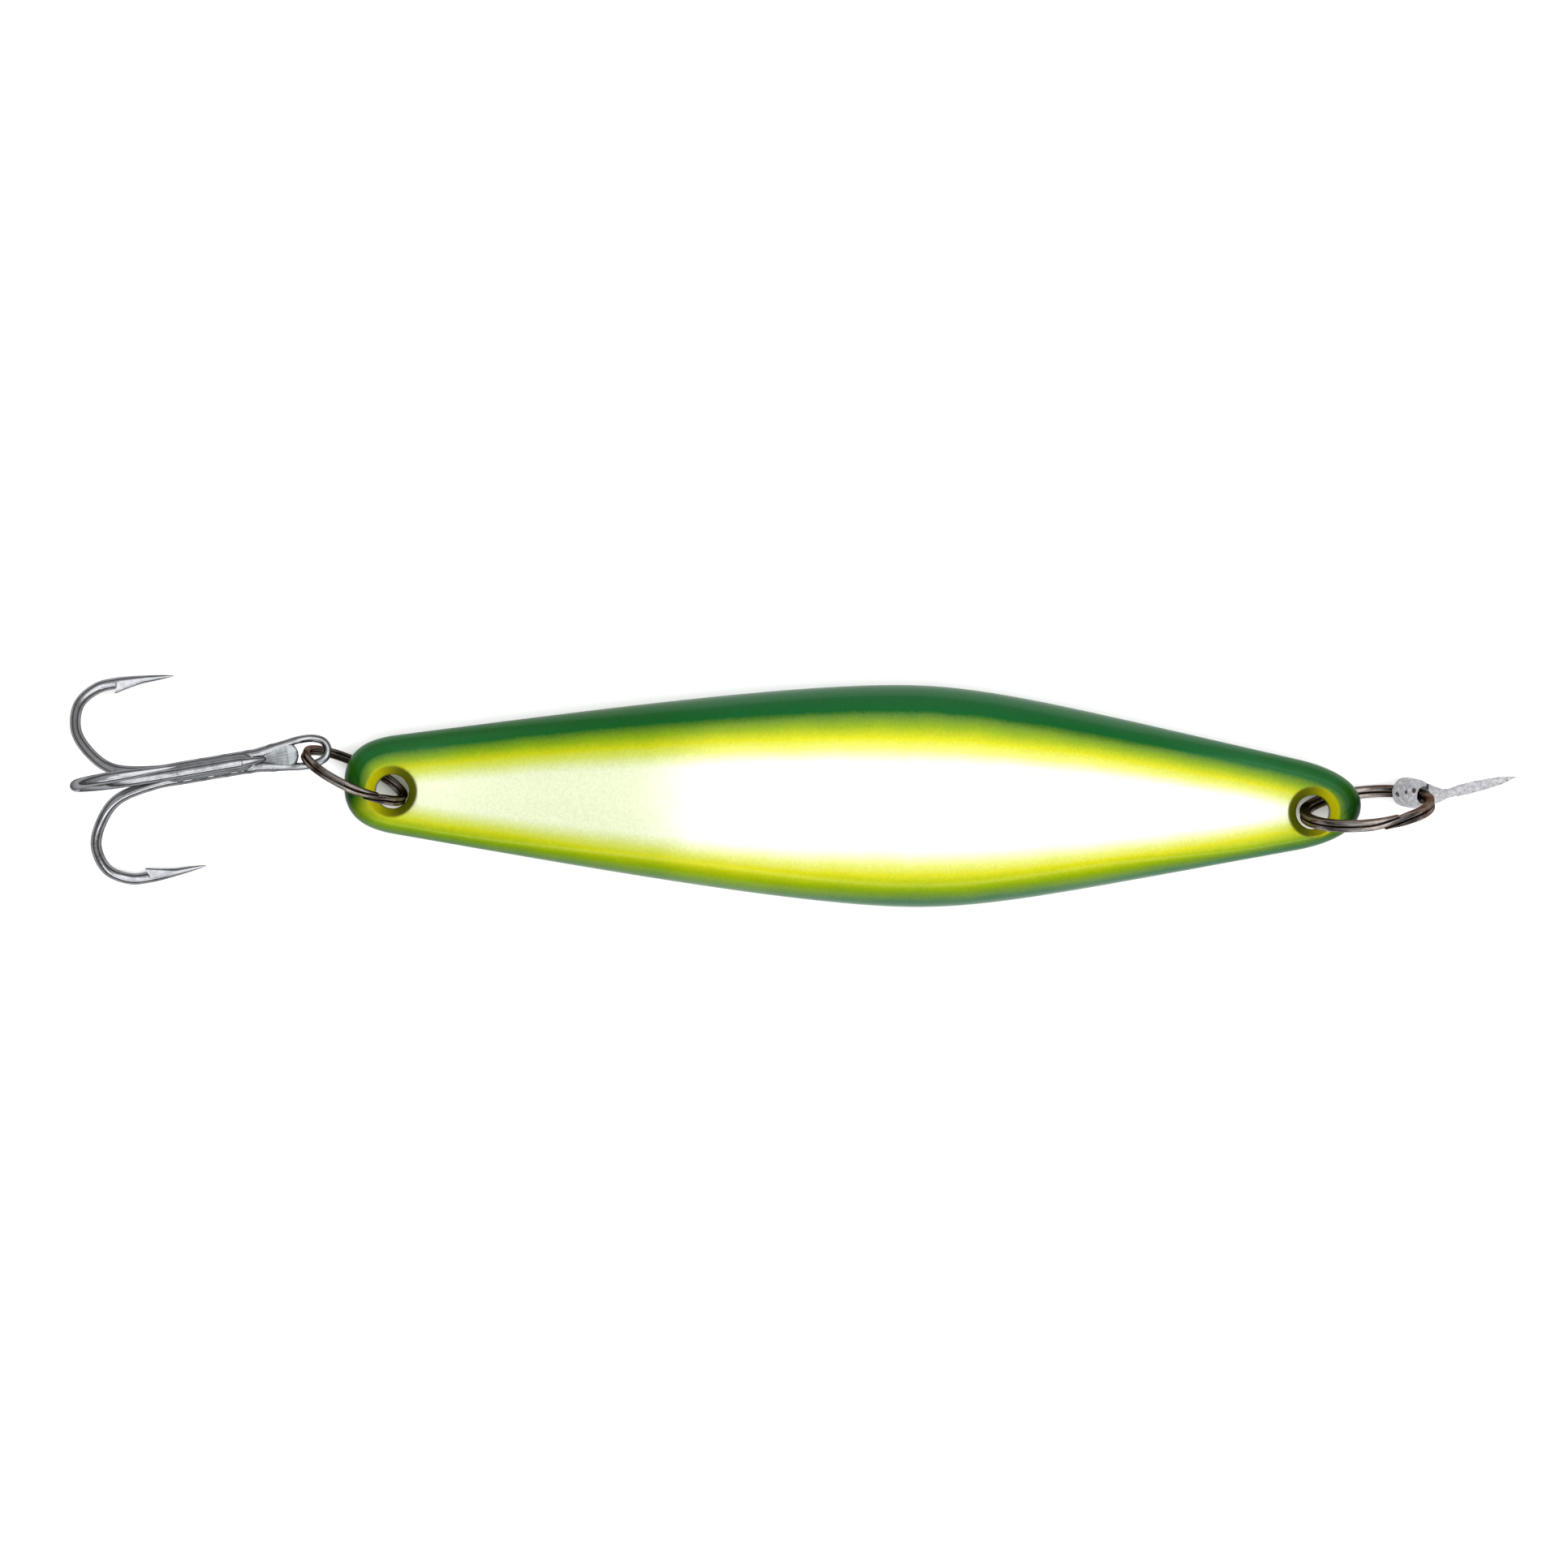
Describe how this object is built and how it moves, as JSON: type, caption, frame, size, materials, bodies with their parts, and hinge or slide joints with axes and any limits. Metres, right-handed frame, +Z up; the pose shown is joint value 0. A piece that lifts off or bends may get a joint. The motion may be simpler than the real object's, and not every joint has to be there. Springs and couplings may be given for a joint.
{
  "type": "metal casting jig lure",
  "caption": "Flat-sided tapered metal casting jig with a split ring at each end, a brazed treble hook and a short woven tape on the nose ring.",
  "frame": {"origin": "on the flat underside of the body, halfway along it and on its middle line", "axes": "+X along the body to the nose, +Y across it to the green back, +Z up through its thickness; the lure lies on one broad side"},
  "size_m": [0.1571, 0.024, 0.0197],
  "materials": {
    "lacquered_body": "bright plated casting under clear lacquer, green back fading through yellow to a pale metallic centre",
    "split_ring": "dark bright nickel on flat spring wire",
    "hook_wire": "bright tinned steel wire, brazed along the shank",
    "tape": "light grey-white woven tape with a row of dark stitches"
  },
  "bodies": {
    "body": {"lure_body": "lacquered_body"},
    "nose_ring": {"nose_split_ring": "split_ring"},
    "tape": {"ring_tape": "tape"},
    "tail_ring": {"tail_split_ring": "split_ring"},
    "hook": {"hook_double_wire": "hook_wire", "hook_single_wire": "hook_wire"}
  },
  "joints": [
    {"name": "nose_ring_swing", "type": "hinge", "parent": "body", "child": "nose_ring", "pos_m": [0.04975, -0.00075, 0.004], "axis": [0, 0, 1], "range_deg": [-90, 90]},
    {"name": "tape_flip", "type": "hinge", "parent": "nose_ring", "child": "tape", "pos_m": [0.06047, 0.00157, 0.00319], "axis": [-0.6371, 0.1097, -0.7629], "range_deg": [-60, 60]},
    {"name": "tail_ring_swing", "type": "hinge", "parent": "body", "child": "tail_ring", "pos_m": [-0.04975, -0.00075, 0.004], "axis": [0, 0, 1], "range_deg": [-60, 60]},
    {"name": "hook_swing", "type": "hinge", "parent": "tail_ring", "child": "hook", "pos_m": [-0.05899, 0.00328, 0.00618], "axis": [0, 0, 1], "range_deg": [-75, 75]}
  ]
}
